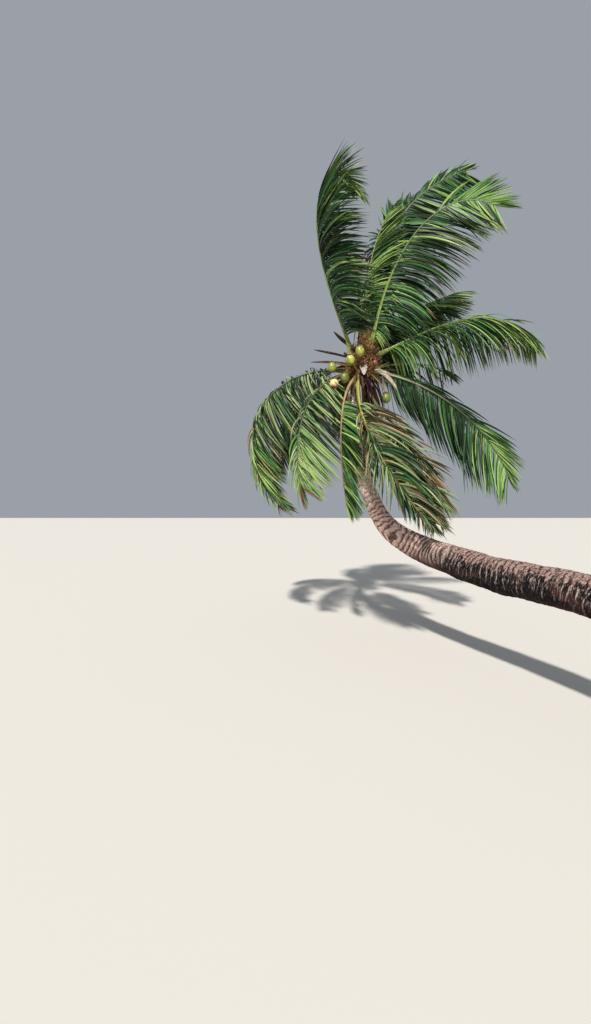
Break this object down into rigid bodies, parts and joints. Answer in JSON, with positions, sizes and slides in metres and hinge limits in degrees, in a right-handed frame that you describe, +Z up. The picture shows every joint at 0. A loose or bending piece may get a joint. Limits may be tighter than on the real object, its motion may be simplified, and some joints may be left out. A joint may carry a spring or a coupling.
{
  "type": "coconut palm tree",
  "caption": "Coconut palm with a low leaning trunk that bends upright, a wind-blown crown of long feathered fronds, green coconuts and dry flower sheaths.",
  "frame": {"origin": "centre of the flat cut under the trunk, at ground level", "axes": "+Z up; the trunk leans away from the origin towards +Y and a little to -X, and the wind blows the crown along +X"},
  "size_m": [3.8108, 6.2687, 6.0469],
  "materials": {
    "bark": "weathered grey-brown bark with ring scars",
    "heart": "orange-brown fibre net over the leaf bases",
    "frond": "deep green leaflets with a soft gloss",
    "spear": "pale yellow-green folded leaf",
    "spathe": "dry ribbed brown sheath",
    "coconut": "smooth waxy yellow-green husk"
  },
  "bodies": {
    "root": {"coconuts_back": "coconut", "coconuts_lee": "coconut", "coconuts_windward": "coconut", "crown_heart": "heart", "frond_back": "frond", "frond_back_hanging_end": "frond", "frond_back_hanging_foot": "frond", "frond_back_high": "frond", "frond_back_lee": "frond", "frond_back_middle": "frond", "frond_back_windward": "frond", "frond_front_hanging": "frond", "frond_front_high_end": "frond", "frond_front_high_foot": "frond", "frond_front_lee": "frond", "frond_front_windward": "frond", "frond_lee": "frond", "frond_lee_low": "frond", "frond_top": "frond", "frond_windward_end": "frond", "frond_windward_foot": "frond", "frond_windward_low_end": "frond", "frond_windward_low_foot": "frond", "frond_windward_tall_end": "frond", "frond_windward_tall_foot": "frond", "frond_young": "frond", "spathe_back": "spathe", "spathe_grey": "spathe", "spathe_hooked": "spathe", "spathe_long": "spathe", "spathe_pale": "spathe", "spathe_thin": "spathe", "spear_leaf": "spear", "trunk_lower": "bark", "trunk_upper": "bark"}
  },
  "joints": []
}
